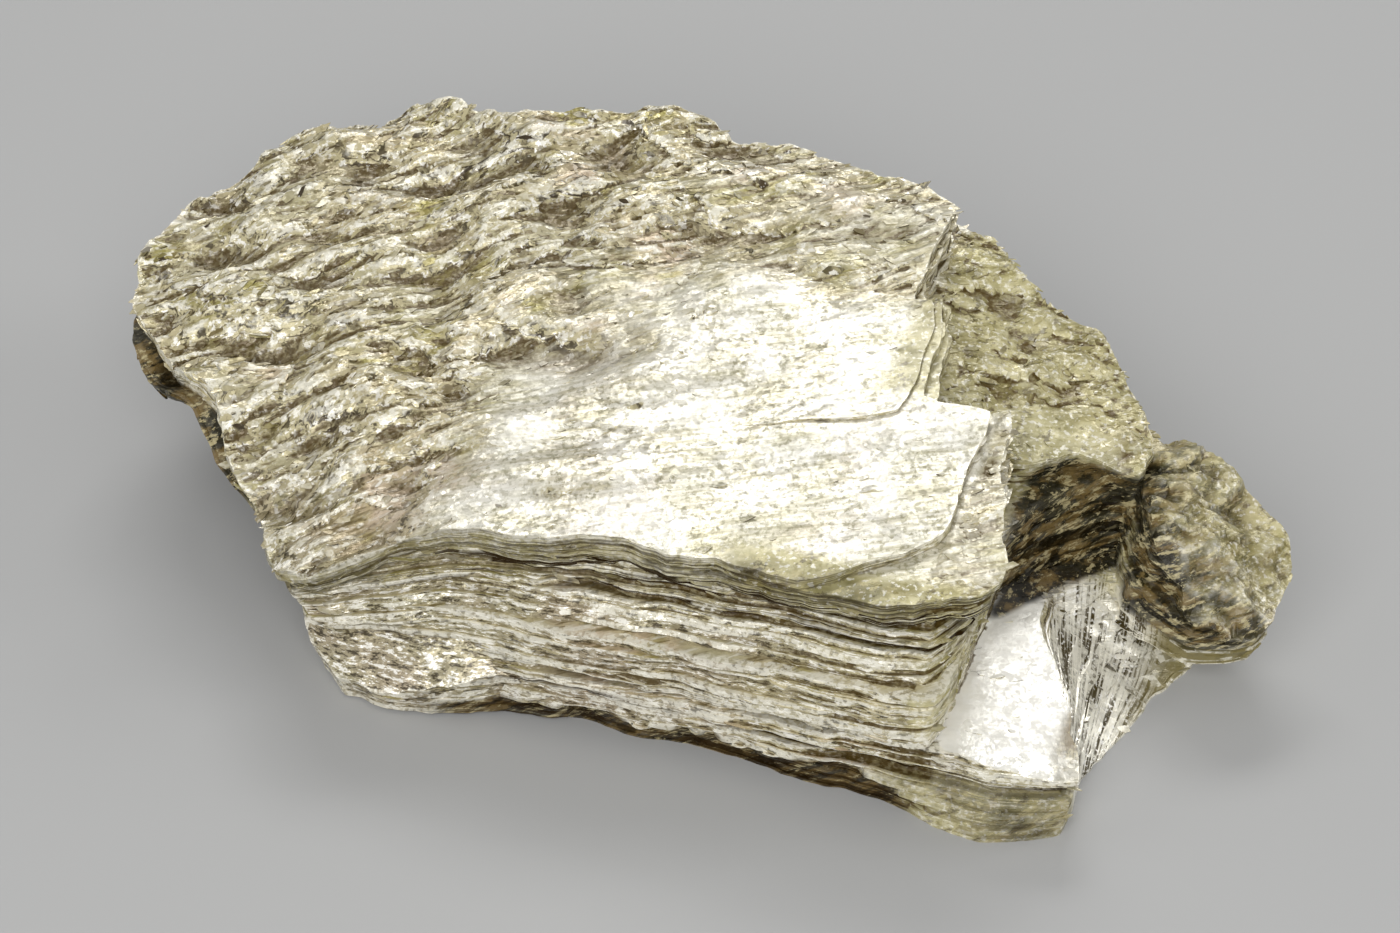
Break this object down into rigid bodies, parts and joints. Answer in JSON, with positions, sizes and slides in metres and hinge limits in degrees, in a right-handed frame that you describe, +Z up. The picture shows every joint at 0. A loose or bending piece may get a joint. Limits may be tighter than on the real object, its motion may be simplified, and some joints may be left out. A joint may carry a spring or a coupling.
{
  "type": "mica crystal",
  "caption": "Muscovite mica crystal: a book of thin cleavage sheets with layered broken sides, a crumpled top and a rough lobe at one end, lying on its flat underside.",
  "frame": {"origin": "middle of the bounding box in plan, at the height of the flat underside that the crystal rests on", "axes": "+X along the crystal's length towards the end with the rough lobe, +Y away from its long laminated side, +Z up across the cleavage sheets"},
  "size_m": [0.1076, 0.0636, 0.0249],
  "materials": {
    "muscovite": "pearly, pale silvery brown cleavage sheets with darker brown broken edges and recesses"
  },
  "bodies": {
    "root": {"mica_crystal": "muscovite"}
  },
  "joints": []
}
